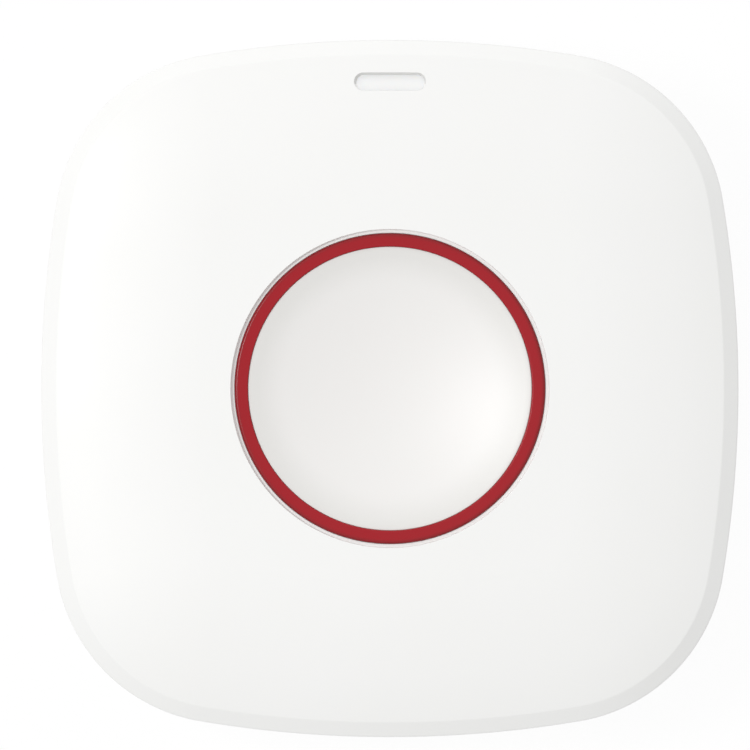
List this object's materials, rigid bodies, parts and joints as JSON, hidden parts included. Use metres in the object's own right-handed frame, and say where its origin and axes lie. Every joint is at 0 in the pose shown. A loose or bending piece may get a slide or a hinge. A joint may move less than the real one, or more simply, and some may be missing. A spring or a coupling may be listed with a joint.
{
  "type": "wireless panic button",
  "caption": "Squircle wireless panic button with a dished sprung push button in a red ring, an indicator window and a snap-off wall plate.",
  "frame": {"origin": "centre of the wall plate's back face", "axes": "+Z out of the front face, +Y towards the indicator window, +X to the right"},
  "size_m": [0.064, 0.064, 0.018],
  "materials": {
    "white_plastic": "fine moulded texture, satin",
    "cap_plastic": "satin, slightly warm white",
    "red_plastic": "soft gloss",
    "diffuser": "translucent, frosted",
    "inner_plastic": "plain moulded",
    "black_plastic": "plain moulded",
    "board": "solder resist",
    "chip": "moulded epoxy",
    "sheet_metal": "tinned",
    "spring_steel": "drawn wire",
    "screw_steel": "zinc plated",
    "cell_steel": "nickel plated",
    "contact_metal": "gold flash",
    "capacitor": "fired ceramic",
    "lamp": "clear resin"
  },
  "bodies": {
    "housing": {"front_cover": "white_plastic", "rear_cover": "white_plastic", "mounting_plate": "white_plastic", "button_retainer": "inner_plastic", "return_spring_1": "spring_steel", "return_spring_2": "spring_steel", "return_spring_3": "spring_steel", "light_pipe": "diffuser", "circuit_board": "board", "tact_switch": "black_plastic", "tamper_switch": "black_plastic", "indicator_led": "lamp", "radio_shield": "sheet_metal", "radio_chip": "chip", "microcontroller": "chip", "crystal": "sheet_metal", "chip_capacitors": "capacitor", "antenna": "contact_metal", "battery_holder": "black_plastic", "coin_cell": "cell_steel", "battery_contact_positive": "contact_metal", "battery_contact_negative": "contact_metal", "housing_screws": "screw_steel", "board_screws": "screw_steel", "retainer_screws": "screw_steel"},
    "button": {"button_ring": "red_plastic", "button_cap": "cap_plastic"},
    "switch_plunger": {"tact_plunger": "black_plastic"},
    "tamper_pin": {"tamper_plunger": "inner_plastic"}
  },
  "joints": [
    {"name": "button_press", "type": "slide", "parent": "housing", "child": "button", "axis": [0, 0, -1], "range_m": [0, 0.0008], "stiffness_N_per_m": 1500, "springref_m": -0.001, "deforming": ["return_spring_1", "return_spring_2", "return_spring_3"]},
    {"name": "switch_press", "type": "slide", "parent": "housing", "child": "switch_plunger", "axis": [0, 0, -1], "range_m": [0, 0.00025]},
    {"name": "tamper_press", "type": "slide", "parent": "housing", "child": "tamper_pin", "axis": [0, 0, 1], "range_m": [0, 0.00015], "stiffness_N_per_m": 400, "springref_m": -0.0005}
  ],
  "couplings": [
    {"joint": "switch_press", "follows": "button_press", "ratio": 0.31}
  ]
}
